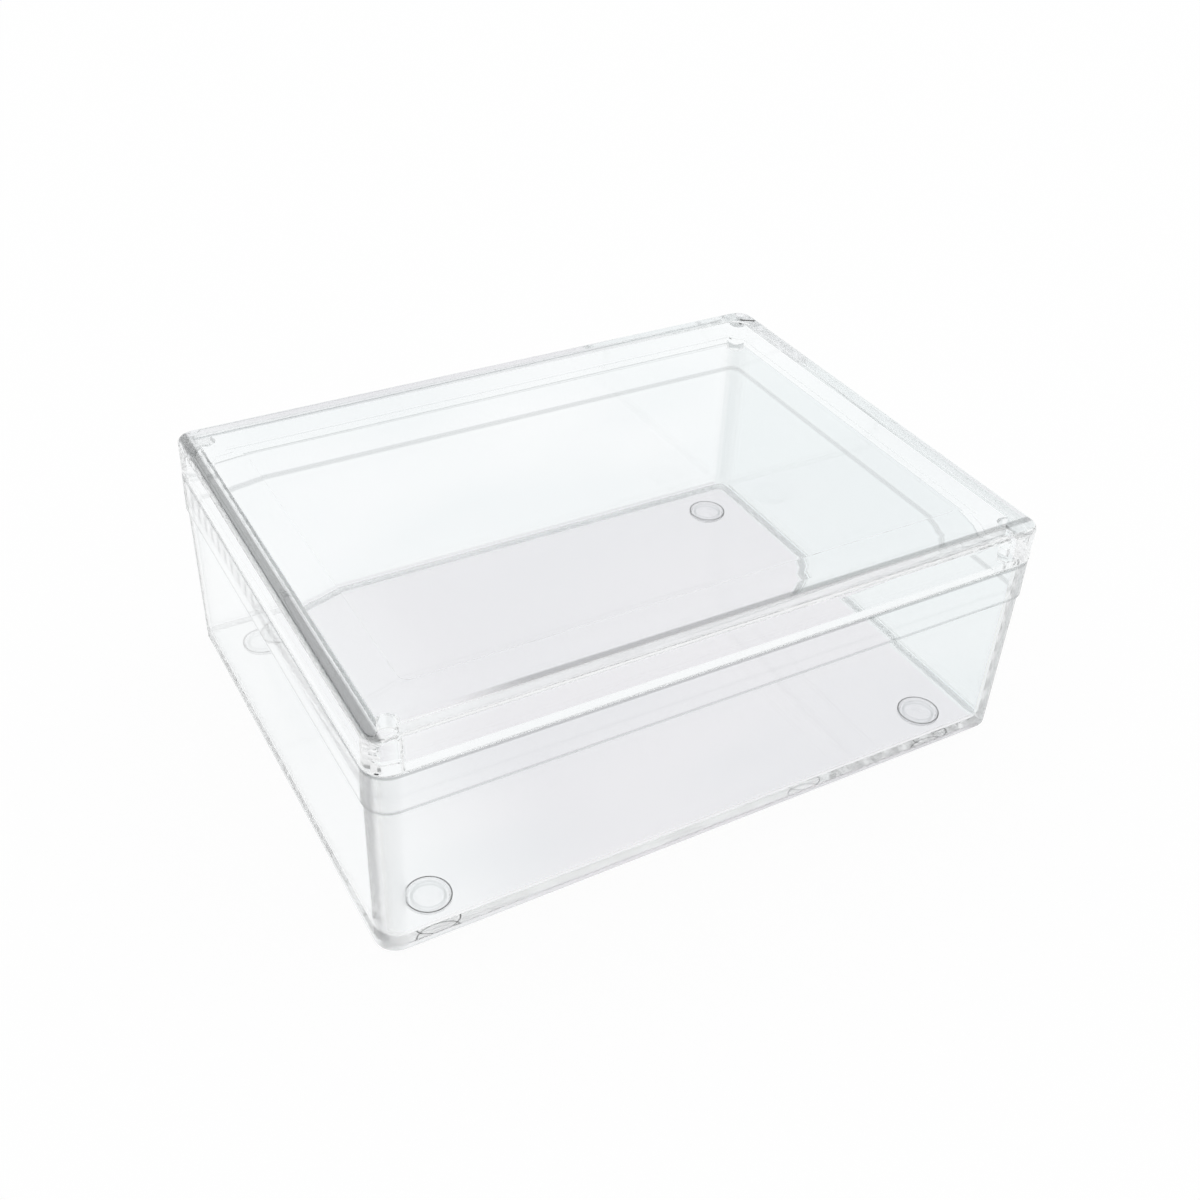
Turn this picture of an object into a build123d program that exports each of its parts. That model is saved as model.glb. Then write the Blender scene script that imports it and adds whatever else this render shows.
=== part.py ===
from build123d import *
import math
import os

# Clear moulded box with a lift-off lid, in millimetres.
# +X runs along the long front side, +Y to the back and +Z up.
# The origin lies on the ground, in the middle under the box.

# Base tub, measured at the underside of its floor
base_length = 158.7
base_depth = 119.1
base_corner_radius = 5.0
base_draft = 0.3
lower_wall_height = 38.9
base_edge_radius = 0.5
floor_thickness = 1.5
wall_thickness = 3.3
inner_draft = 0.3
cavity_corner_radius = 2.4
floor_inner_radius = 2.4

# Collar round the mouth of the tub
collar_step = 0.45
collar_height = 9.4
collar_draft = 1.0
collar_edge_radius = 0.3
mouth_edge_radius = 1.1

# Lid, measured at the lower edge of its skirt
lid_inset = 0.2
lid_corner_radius = 4.4
lid_height = 8.75
lid_draft = 0.4
lid_edge_radius = 1.4
lid_rim_thickness = 1.5
skirt_thickness = 4.3
skirt_edge_radius = 0.3
hollow_corner_radius = 1.5
lid_inner_radius = 0.8

# Locating pegs under the lid's corners
peg_diameter = 4.4
peg_reach = 1.0
peg_clearance = 0.4
peg_edge_chamfer = 0.6

# Fine seats under the skirt's corners, which the lid lies on
seat_diameter = 0.8
seat_height = 0.05

# Middle of the lid's plate, thicker than its border and fading out to the sides in a gentle curve
panel_length = 134.0
panel_depth = 89.6
panel_corner_radius = 2.0
panel_step = 0.1
crown_thickness = 0.8
crown_radius = 90.0

# Feet under the floor, slightly hollow on top so that only a rim touches the tub
foot_diameter = 10.0
foot_height = 1.4
foot_edge_chamfer = 0.75
foot_rim_width = 0.25
foot_hollow_depth = 0.05
foot_inset_x = 14.4
foot_inset_y = 12.6


def spread(height, draft):
    """How far a drafted face moves sideways over a height."""
    return height * math.tan(math.radians(draft))


# Levels and sizes that follow from the values above
floor_level = foot_height
collar_level = floor_level + lower_wall_height
joint_level = collar_level + collar_height
skirt_level = joint_level + seat_height
top_level = skirt_level + lid_height

wall_spread = spread(lower_wall_height, base_draft)
collar_length = base_length + 2 * (wall_spread + collar_step)
collar_depth = base_depth + 2 * (wall_spread + collar_step)
collar_corner_radius = base_corner_radius + wall_spread + collar_step

collar_spread = spread(collar_height, collar_draft)
joint_length = collar_length - 2 * collar_spread
joint_depth = collar_depth - 2 * collar_spread

cavity_level = floor_level + floor_thickness
cavity_height = joint_level - cavity_level
cavity_length = base_length - 2 * wall_thickness
cavity_depth = base_depth - 2 * wall_thickness
mouth_spread = spread(cavity_height, inner_draft)
mouth_length = cavity_length + 2 * mouth_spread
mouth_depth = cavity_depth + 2 * mouth_spread

lid_length = joint_length - 2 * lid_inset
lid_depth = joint_depth - 2 * lid_inset
lid_hollow_height = lid_height - lid_rim_thickness
ceiling_level = skirt_level + lid_hollow_height
crown_level = ceiling_level - crown_thickness
hollow_length = lid_length - 2 * skirt_thickness
hollow_depth = lid_depth - 2 * skirt_thickness

# Each peg stands in a corner of the mouth, clear of both walls
peg_x = mouth_length / 2 - peg_clearance - peg_diameter / 2
peg_y = mouth_depth / 2 - peg_clearance - peg_diameter / 2

# Each seat stands under the middle of the skirt's thickness
seat_x = lid_length / 2 - skirt_thickness / 2
seat_y = lid_depth / 2 - skirt_thickness / 2

foot_x = base_length / 2 - foot_inset_x
foot_y = base_depth / 2 - foot_inset_y


def drafted_block(length, depth, corner_radius, level, height, draft):
    """Rounded block standing on a level; a positive draft narrows it on its way up."""
    outline = Pos(0, 0, level) * RectangleRounded(length, depth, corner_radius)
    return extrude(outline, height, taper=draft)


def edges_at(part, level):
    """Edges that lie wholly on one level."""
    return part.edges().filter_by_position(Axis.Z, level, level)


def base_tub():
    """Open tub with a raised collar round its mouth."""
    lower = drafted_block(
        base_length, base_depth, base_corner_radius, floor_level, lower_wall_height, -base_draft
    )
    lower = fillet(edges_at(lower, floor_level), base_edge_radius)
    collar = drafted_block(
        collar_length, collar_depth, collar_corner_radius, collar_level, collar_height, collar_draft
    )
    collar = fillet(edges_at(collar, joint_level), collar_edge_radius)
    cavity = drafted_block(
        cavity_length, cavity_depth, cavity_corner_radius, cavity_level, cavity_height, -inner_draft
    )
    cavity = fillet(edges_at(cavity, cavity_level), floor_inner_radius)
    tub = lower + collar - cavity
    rim = tub.faces().sort_by(Axis.Z)[-1]
    return tub.fillet(mouth_edge_radius, rim.inner_wires()[0].edges())


def lid_shell():
    """Drafted lid with a rounded top edge, hollowed from below."""
    outer = drafted_block(lid_length, lid_depth, lid_corner_radius, skirt_level, lid_height, lid_draft)
    outer = fillet(edges_at(outer, top_level), lid_edge_radius)
    outer = fillet(edges_at(outer, skirt_level), skirt_edge_radius)
    hollow = drafted_block(
        hollow_length, hollow_depth, hollow_corner_radius, skirt_level, lid_hollow_height, lid_draft
    )
    hollow = fillet(edges_at(hollow, ceiling_level), lid_inner_radius)
    return outer - hollow


def crown_rise(run):
    """How far the crown's underside has come up at a distance past its flat middle."""
    return crown_radius - math.sqrt(crown_radius**2 - run**2)


def crown_bar(half_flat, half_width, plane):
    """Bar with a flat underside in the middle that curves up to both of its long sides."""
    run = half_width - half_flat
    middle = (half_flat + run / 2, crown_level + crown_rise(run / 2))
    end = (half_width, crown_level + crown_rise(run))
    top = ceiling_level + lid_rim_thickness / 2
    outline = [
        Line((-half_flat, crown_level), (half_flat, crown_level)),
        ThreePointArc((half_flat, crown_level), middle, end),
        Polyline(end, (half_width, top), (-half_width, top), (-end[0], end[1])),
        ThreePointArc((-end[0], end[1]), (-middle[0], middle[1]), (-half_flat, crown_level)),
    ]
    return extrude(plane * make_face(outline), lid_length, both=True)


def crown():
    """Thicker middle of the plate, with its flat panel standing a fine step below the curve."""
    side_reach = skirt_thickness / 2
    across = crown_bar(panel_length / 2, hollow_length / 2 + side_reach, Plane.XZ)
    along = crown_bar(panel_depth / 2, hollow_depth / 2 + side_reach, Plane.YZ)
    panel = Pos(0, 0, crown_level) * RectangleRounded(panel_length, panel_depth, panel_corner_radius)
    return (across & along) + extrude(panel, panel_step, both=True)


def in_corners(part, x, y):
    """Four copies of a part, one towards each corner of the box."""
    return [Pos(side * x, end * y, 0) * part for side in (-1, 1) for end in (-1, 1)]


def locating_pegs():
    """Four round pegs under the lid that drop into the corners of the mouth."""
    peg_length = ceiling_level - joint_level + peg_reach
    peg = Pos(0, 0, joint_level - peg_reach) * extrude(Circle(peg_diameter / 2), peg_length)
    peg = chamfer(edges_at(peg, joint_level - peg_reach), peg_edge_chamfer)
    return in_corners(peg, peg_x, peg_y)


def seats():
    """Four fine seats that keep the skirt a hair above the collar."""
    seat = Pos(0, 0, joint_level) * extrude(Circle(seat_diameter / 2), seat_height + skirt_edge_radius)
    return in_corners(seat, seat_x, seat_y)


def lid():
    """Lid shell with the thicker middle of its plate, its locating pegs and its seats."""
    part = lid_shell() + crown()
    for piece in locating_pegs() + seats():
        part = part + piece
    return part


def foot():
    """Round clear pad that stands on the ground under the middle of the box."""
    pad = extrude(Circle(foot_diameter / 2), foot_height)
    pad = chamfer(edges_at(pad, 0), foot_edge_chamfer)
    hollow = extrude(Circle(foot_diameter / 2 - foot_rim_width), foot_hollow_depth)
    return pad - Pos(0, 0, foot_height - foot_hollow_depth) * hollow


pieces = {"base_tub": base_tub(), "lid": lid()}
for side, x in (("left", -foot_x), ("right", foot_x)):
    for end, y in (("front", -foot_y), ("back", foot_y)):
        pieces[f"foot_{end}_{side}"] = Pos(x, y, 0) * foot()

os.makedirs("parts", exist_ok=True)
for name, piece in pieces.items():
    export_step(piece, f"parts/{name}.step")
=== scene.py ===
import bmesh
import bpy
from mathutils import Matrix, Vector


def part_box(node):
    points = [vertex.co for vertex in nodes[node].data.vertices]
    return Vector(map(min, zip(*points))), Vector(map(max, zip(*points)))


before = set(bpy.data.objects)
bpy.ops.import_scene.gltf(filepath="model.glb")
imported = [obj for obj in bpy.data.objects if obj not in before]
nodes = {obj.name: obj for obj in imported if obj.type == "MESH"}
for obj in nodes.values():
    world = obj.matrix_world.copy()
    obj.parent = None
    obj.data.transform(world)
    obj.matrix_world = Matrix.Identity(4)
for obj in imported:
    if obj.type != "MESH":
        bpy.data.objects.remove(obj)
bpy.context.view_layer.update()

# Levels and reach of the box, from the frame, in metres
tub_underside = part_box("base_tub")[0].z
joint_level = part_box("base_tub")[1].z
lid_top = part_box("lid")[1].z
tub_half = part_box("base_tub")[1]
lid_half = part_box("lid")[1]
foot_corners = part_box("foot_back_right")
foot_middle = (foot_corners[0] + foot_corners[1]) / 2
foot_names = ("foot_front_left", "foot_front_right", "foot_back_left", "foot_back_right")

# Sizes that the tub's finish and its painted shade follow, in metres; the last three are counted from the
# outside inwards
collar_height = 0.0094
floor_thickness = 0.0015
outside_depth = 0.0022
right_wall_depth = 0.0055
corner_depth = 0.007

# Places on the tub that follow from them
collar_step_level = joint_level - collar_height
floor_plate_top = tub_underside + floor_thickness
outside_start = (tub_half.x - outside_depth, tub_half.y - outside_depth)
right_wall_start = tub_half.x - right_wall_depth
corner_start = (tub_half.x - corner_depth, tub_half.y - corner_depth)

# Widths over which the tub's finish and its painted shade change, in metres
outside_softness = 0.0001
plate_softness = 0.0004
right_softness = 0.0005
corner_softness = 0.002

# Share of the half length at which the painted shade on the floor plate, clear on the left, reaches its full
# grey
full_grey_share = -0.3

# Zones of the finish and of its painted light and shade, in metres, counted from a side, from the lid's top
# or from a pad's middle
front_skirt_zone = (0.0045, 0.0055)
lid_top_zone = (-0.0010, -0.0005)
front_shade_line_zone = (0.015, 0.035)
pad_rim_zone = (0.0042, 0.0046)

# Soft strips of painted shade and of the pads' ring: where each starts, is full, begins to fade and ends
collar_step_shade_strip = (-0.0009, -0.0003, 0.0003, 0.0009)
seam_shade_strip = (-0.0011, -0.0006, -0.0003, -0.0001)
lid_left_shade_strip = (0.0002, 0.0009, 0.0024, 0.0031)
lid_front_shade_strip = (0.0029, 0.0036, 0.0047, 0.0053)
pad_ring_strip = (0.0031, 0.0034, 0.0037, 0.0040)

# Tints that clear plastic gives to what is seen through it, and painted tints: the floor plate's, the step's,
# the seam's and the lid's two strips are painted shade, the front skirt's is painted light
clear_tint = (0.985, 0.995, 0.998)
cool_tint = (0.955, 0.973, 0.978)
plate_shade_tint = (0.85, 0.838, 0.862)
right_tint = (0.89, 0.925, 0.93)
step_shade_tint = (0.55, 0.57, 0.575)
seam_shade_tint = (0.4, 0.42, 0.42)
front_skirt_light_tint = (0.99, 0.998, 1.0)
lid_left_shade_tint = (0.19, 0.195, 0.195)
lid_front_shade_tint = (0.36, 0.37, 0.37)
pad_tint = (0.985, 0.99, 0.99)
pad_cloud_tint = (0.9, 0.91, 0.915)
pad_ring_tint = (0.72, 0.74, 0.74)

# How clear the pieces are, how they bend light and how rough they are
clear_share = 0.999
plastic_refraction = 1.5
pad_refraction = 1.3
haze_roughness = 0.015
dulled_roughness = 0.25
cloud_roughness = 0.12
pad_rim_roughness = 0.6
ripple_height = 0.00002

# Noise of the finish: scales in waves per metre, and the part of the noise over which each change runs
flow_scale = 16.0
flow_detail = 1.5
flow_stretch = (1.0, 1.0, 2.5)
flow_range = (0.35, 0.65)
haze_scale = 90.0
haze_detail = 4.0
haze_range = (0.3, 0.7)
cloud_scale = 450.0
cloud_detail = 2.0
cloud_range = (0.55, 0.7)

# Floor: sizes in metres, its white, and the share of its own glow that the eye sees
floor_half = 3.0
floor_drop = 0.0001
floor_white = 0.97
glow_share = 0.95

# Room: directions over which each shade runs, and the light that the shades take away
behind_camera_zone = (-0.6, 0.0)
above_zone = (0.1, 0.35)
left_zone = (-0.9, -0.4)
front_zone = (-0.15, 0.1)
behind_camera_shade = 0.15
left_shade = 0.2

# Camera: its directions, its place and reach in metres, and its sensor and lens in millimetres
camera_right = Vector((0.87129796, -0.48887419, 0.04291734))
camera_up = Vector((0.2627403, 0.53855144, 0.80058096))
camera_look = Vector((0.41449656, 0.68626844, -0.59768572))
camera_above_lid = 0.173715
camera_place = Vector((-0.142614, -0.239653, lid_top + camera_above_lid))
nearest_seen = 0.01
farthest_seen = 20.0
sensor_width = 36.0
focal_length = 43.5155

# Light goes on this often through the many faces of clear walls, where few bounces leave black edges
bounces = 160

# Places of the sockets on Blender's two mixing nodes
colour_inputs = (6, 7)
colour_output = 2
shader_inputs = (1, 2)


# Material parts

def new_material(name):
    """Empty node material with its node tree and its Principled shader."""
    material = bpy.data.materials.new(name)
    material.use_nodes = True
    return material, material.node_tree, material.node_tree.nodes["Principled BSDF"]


def calculation(tree, operation, first, second):
    """Math node on two inputs, each a socket or a number."""
    node = tree.nodes.new("ShaderNodeMath")
    node.operation = operation
    for socket, value in zip(node.inputs, (first, second)):
        if isinstance(value, (int, float)):
            socket.default_value = value
        else:
            tree.links.new(value, socket)
    return node.outputs["Value"]


def product(tree, first, *others):
    """Product of several sockets or numbers."""
    for other in others:
        first = calculation(tree, "MULTIPLY", first, other)
    return first


def blend_over(tree, source, start, end, low, high):
    """Soft change from one value to another while the source goes from start to end."""
    change = tree.nodes.new("ShaderNodeMapRange")
    change.interpolation_type = "SMOOTHSTEP"
    change.inputs["From Min"].default_value = start
    change.inputs["From Max"].default_value = end
    change.inputs["To Min"].default_value = low
    change.inputs["To Max"].default_value = high
    tree.links.new(source, change.inputs["Value"])
    return change.outputs["Result"]


def rise_over(tree, source, start, end):
    """Soft change from 0 to 1."""
    return blend_over(tree, source, start, end, 0.0, 1.0)


def fall_over(tree, source, start, end):
    """Soft change from 1 to 0."""
    return blend_over(tree, source, start, end, 1.0, 0.0)


def counted_from(zero, places):
    """Places that are counted from a zero place."""
    return [zero + place for place in places]


def strip(tree, source, zero, places):
    """Soft strip of ones whose four places are counted from a zero place."""
    start, full, fading, end = counted_from(zero, places)
    rise = rise_over(tree, source, start, full)
    return product(tree, rise, fall_over(tree, source, fading, end))


def place_on_piece(tree):
    """Place on the piece, whole and as its distances across, along and up."""
    place = tree.nodes.new("ShaderNodeTexCoord").outputs["Object"]
    split = tree.nodes.new("ShaderNodeSeparateXYZ")
    tree.links.new(place, split.inputs["Vector"])
    return place, [split.outputs[axis] for axis in ("X", "Y", "Z")]


def from_the_middle(tree, distances):
    """Distances from the two upright middle planes of the box."""
    return [calculation(tree, "ABSOLUTE", distance, 0.0) for distance in distances[:2]]


def beyond(tree, distances, limits, pick, softness):
    """Soft 1 where the distances are past their limits, in one or both directions."""
    over = [calculation(tree, "SUBTRACT", distance, limit) for distance, limit in zip(distances, limits)]
    return rise_over(tree, calculation(tree, pick, *over), 0.0, softness)


def object_noise(tree, place, scale, detail, stretch=(1.0, 1.0, 1.0)):
    """Noise that is fixed to the piece itself; the scale is in waves per metre."""
    mapping = tree.nodes.new("ShaderNodeMapping")
    mapping.inputs["Scale"].default_value = stretch
    noise = tree.nodes.new("ShaderNodeTexNoise")
    noise.inputs["Scale"].default_value = scale
    noise.inputs["Detail"].default_value = detail
    tree.links.new(place, mapping.inputs["Vector"])
    tree.links.new(mapping.outputs["Vector"], noise.inputs["Vector"])
    return noise.outputs["Fac"]


def mixed_colour(tree, share, first, second):
    """Colour between two colours, each a socket or a plain colour."""
    mix = tree.nodes.new("ShaderNodeMix")
    mix.data_type = "RGBA"
    tree.links.new(share, mix.inputs["Factor"])
    for place, colour in zip(colour_inputs, (first, second)):
        if isinstance(colour, tuple):
            mix.inputs[place].default_value = (*colour, 1.0)
        else:
            tree.links.new(colour, mix.inputs[place])
    return mix.outputs[colour_output]


def rippled(tree, shader, source):
    """Slight surface ripple."""
    bump = tree.nodes.new("ShaderNodeBump")
    bump.inputs["Distance"].default_value = ripple_height
    tree.links.new(source, bump.inputs["Height"])
    tree.links.new(bump.outputs["Normal"], shader.inputs["Normal"])


def finished(tree, shader, colour, roughness):
    """Gives the shader its colour and its roughness."""
    tree.links.new(colour, shader.inputs["Base Color"])
    tree.links.new(roughness, shader.inputs["Roughness"])


# Materials

def clear_plastic(name):
    """Clear moulded plastic with a breath of haze and faint flow ripples, and what it is finished from."""
    material, tree, shader = new_material(name)
    shader.inputs["Transmission Weight"].default_value = clear_share
    shader.inputs["IOR"].default_value = plastic_refraction
    place, distances = place_on_piece(tree)
    flow = object_noise(tree, place, flow_scale, flow_detail, stretch=flow_stretch)
    colour = mixed_colour(tree, rise_over(tree, flow, *flow_range), clear_tint, cool_tint)
    haze = object_noise(tree, place, haze_scale, haze_detail)
    roughness = blend_over(tree, haze, *haze_range, 0.0, haze_roughness)
    rippled(tree, shader, flow)
    return material, tree, shader, distances, colour, roughness


def tub_plastic():
    """Clear plastic with a greyer right wall, and painted shade on the floor plate and in soft dark lines at
    the collar's step and rim.
    """
    material, tree, shader, distances, colour, roughness = clear_plastic("clear_tub_plastic")
    across, height = distances[0], distances[2]
    sides = from_the_middle(tree, distances)
    outside = beyond(tree, sides, outside_start, "MAXIMUM", outside_softness)
    plate = fall_over(tree, height, floor_plate_top, floor_plate_top + plate_softness)
    # Painted shadow: the floor plate turns greyer away from its left end, standing in for the box's shadow on
    # the floor under it
    plate_shade_share = rise_over(tree, across, -tub_half.x, full_grey_share * tub_half.x)
    colour = mixed_colour(tree, product(tree, plate, plate_shade_share), colour, plate_shade_tint)
    right = rise_over(tree, across, right_wall_start, right_wall_start + right_softness)
    colour = mixed_colour(tree, right, colour, right_tint)
    # Painted shade: a soft dark line round the outside of the collar's step
    step_shade = product(tree, strip(tree, height, collar_step_level, collar_step_shade_strip), outside)
    colour = mixed_colour(tree, step_shade, colour, step_shade_tint)
    # Painted shade: a dark line just under the rim, where lid and tub meet
    colour = mixed_colour(tree, strip(tree, height, joint_level, seam_shade_strip), colour, seam_shade_tint)
    corner = beyond(tree, sides, corner_start, "MINIMUM", corner_softness)
    bottom_edge = product(tree, plate, outside)
    dulled = product(tree, calculation(tree, "MAXIMUM", corner, bottom_edge), dulled_roughness)
    finished(tree, shader, colour, calculation(tree, "MAXIMUM", roughness, dulled))
    return material


def lid_plastic():
    """Clear plastic with painted shade along its left edge and along the inner edge of the front skirt, and
    painted light on the front skirt.
    """
    material, tree, shader, distances, colour, roughness = clear_plastic("clear_lid_plastic")
    across, along, height = distances
    # Painted light: the front skirt is kept a clearer, lighter tint than the other skirts
    lighter_skirt = fall_over(tree, along, *counted_from(-lid_half.y, front_skirt_zone))
    colour = mixed_colour(tree, lighter_skirt, colour, front_skirt_light_tint)
    # Painted shade: a dark strip along the left edge of the lid's top
    upper = rise_over(tree, height, *counted_from(lid_top, lid_top_zone))
    left = strip(tree, across, -lid_half.x, lid_left_shade_strip)
    colour = mixed_colour(tree, product(tree, upper, left), colour, lid_left_shade_tint)
    # Painted shade: a dark line over the inner edge of the front skirt, starting past the left corner
    front = strip(tree, along, -lid_half.y, lid_front_shade_strip)
    past_the_corner = rise_over(tree, across, *counted_from(-lid_half.x, front_shade_line_zone))
    colour = mixed_colour(tree, product(tree, upper, front, past_the_corner), colour, lid_front_shade_tint)
    finished(tree, shader, colour, roughness)
    return material


def distance_from_pad_middle(tree, distances):
    """Distance from the upright axis of the nearest pad."""
    sides = from_the_middle(tree, distances)
    offsets = [calculation(tree, "SUBTRACT", side, middle) for side, middle in zip(sides, foot_middle)]
    squares = [product(tree, offset, offset) for offset in offsets]
    return calculation(tree, "SQRT", calculation(tree, "ADD", *squares), 0.0)


def soft_pad():
    """Clear soft pad, a little cloudy, with a faint ring inside its blurred rim."""
    material, tree, shader = new_material("soft_pad_clear")
    shader.inputs["Transmission Weight"].default_value = clear_share
    shader.inputs["IOR"].default_value = pad_refraction
    place, distances = place_on_piece(tree)
    cloud = object_noise(tree, place, cloud_scale, cloud_detail)
    radius = distance_from_pad_middle(tree, distances)
    colour = mixed_colour(tree, rise_over(tree, cloud, *cloud_range), pad_tint, pad_cloud_tint)
    colour = mixed_colour(tree, strip(tree, radius, 0.0, pad_ring_strip), colour, pad_ring_tint)
    rim = blend_over(tree, radius, *pad_rim_zone, 0.0, pad_rim_roughness)
    haze = blend_over(tree, cloud, *haze_range, 0.0, cloud_roughness)
    finished(tree, shader, colour, calculation(tree, "MAXIMUM", haze, rim))
    rippled(tree, shader, cloud)
    return material


def dress(node, material):
    """Gives a CAD node its material."""
    for slot in nodes[node].material_slots:
        slot.material = material


dress("base_tub", tub_plastic())
dress("lid", lid_plastic())
pad_material = soft_pad()
for foot in foot_names:
    dress(foot, pad_material)


# Floor, light and camera

def seen_by_eye(tree):
    """1 for rays from the camera, straight or by way of gloss and clear plastic."""
    path = tree.nodes.new("ShaderNodeLightPath")
    straight = calculation(tree, "MAXIMUM", path.outputs["Is Camera Ray"], path.outputs["Is Glossy Ray"])
    return calculation(tree, "MAXIMUM", straight, path.outputs["Is Transmission Ray"])


def floor_material():
    """Matte white that glows white to the eye, so that only a soft part of the box's shadow shows."""
    material = bpy.data.materials.new("floor_white")
    material.use_nodes = True
    tree = material.node_tree
    tree.nodes.clear()
    matte = tree.nodes.new("ShaderNodeBsdfDiffuse")
    matte.inputs["Color"].default_value = (floor_white, floor_white, floor_white, 1.0)
    glow = tree.nodes.new("ShaderNodeEmission")
    mix = tree.nodes.new("ShaderNodeMixShader")
    output = tree.nodes.new("ShaderNodeOutputMaterial")
    tree.links.new(product(tree, seen_by_eye(tree), glow_share), mix.inputs["Fac"])
    for place, source in zip(shader_inputs, (matte.outputs["BSDF"], glow.outputs["Emission"])):
        tree.links.new(source, mix.inputs[place])
    tree.links.new(mix.outputs["Shader"], output.inputs["Surface"])
    return material


def floor():
    """Wide white floor a hair below the feet."""
    shape = bmesh.new()
    bmesh.ops.create_grid(shape, x_segments=1, y_segments=1, size=floor_half)
    bmesh.ops.translate(shape, verts=shape.verts, vec=(0.0, 0.0, -floor_drop))
    mesh = bpy.data.meshes.new("floor")
    shape.to_mesh(mesh)
    shape.free()
    mesh.materials.append(floor_material())
    piece = bpy.data.objects.new("floor", mesh)
    bpy.context.scene.collection.objects.link(piece)


def surroundings():
    """White room, with a little less light on the box from behind the camera and from the front left."""
    world = bpy.data.worlds.new("pale_room")
    bpy.context.scene.world = world
    world.use_nodes = True
    tree = world.node_tree
    place = tree.nodes.new("ShaderNodeTexCoord")
    split = tree.nodes.new("ShaderNodeSeparateXYZ")
    tree.links.new(place.outputs["Generated"], split.inputs["Vector"])
    across, along, up = (split.outputs[axis] for axis in ("X", "Y", "Z"))
    behind_camera = blend_over(tree, along, *behind_camera_zone, behind_camera_shade, 0.0)
    above = rise_over(tree, up, *above_zone)
    left = blend_over(tree, across, *left_zone, left_shade, 0.0)
    front = fall_over(tree, along, *front_zone)
    shade = calculation(tree, "MAXIMUM", product(tree, behind_camera, above), product(tree, left, front))
    seen = tree.nodes.new("ShaderNodeLightPath").outputs["Is Camera Ray"]
    light = calculation(tree, "MAXIMUM", calculation(tree, "SUBTRACT", 1.0, shade), seen)
    tree.links.new(light, tree.nodes["Background"].inputs["Color"])


def camera():
    """Camera at the photo's place, in front of the left corner and above the box."""
    data = bpy.data.cameras.new("camera")
    data.sensor_width = sensor_width
    data.lens = focal_length
    data.clip_start = nearest_seen
    data.clip_end = farthest_seen
    eye = bpy.data.objects.new("camera", data)
    bpy.context.scene.collection.objects.link(eye)
    turn = Matrix((camera_right, camera_up, -camera_look)).transposed().to_4x4()
    turn.translation = camera_place
    eye.matrix_world = turn
    bpy.context.scene.camera = eye


def light_bounces():
    """Sets how often light goes on."""
    settings = bpy.context.scene.cycles
    settings.max_bounces = bounces
    settings.transmission_bounces = bounces
    settings.glossy_bounces = bounces


floor()
surroundings()
camera()
light_bounces()
bpy.context.scene.view_settings.view_transform = "Standard"
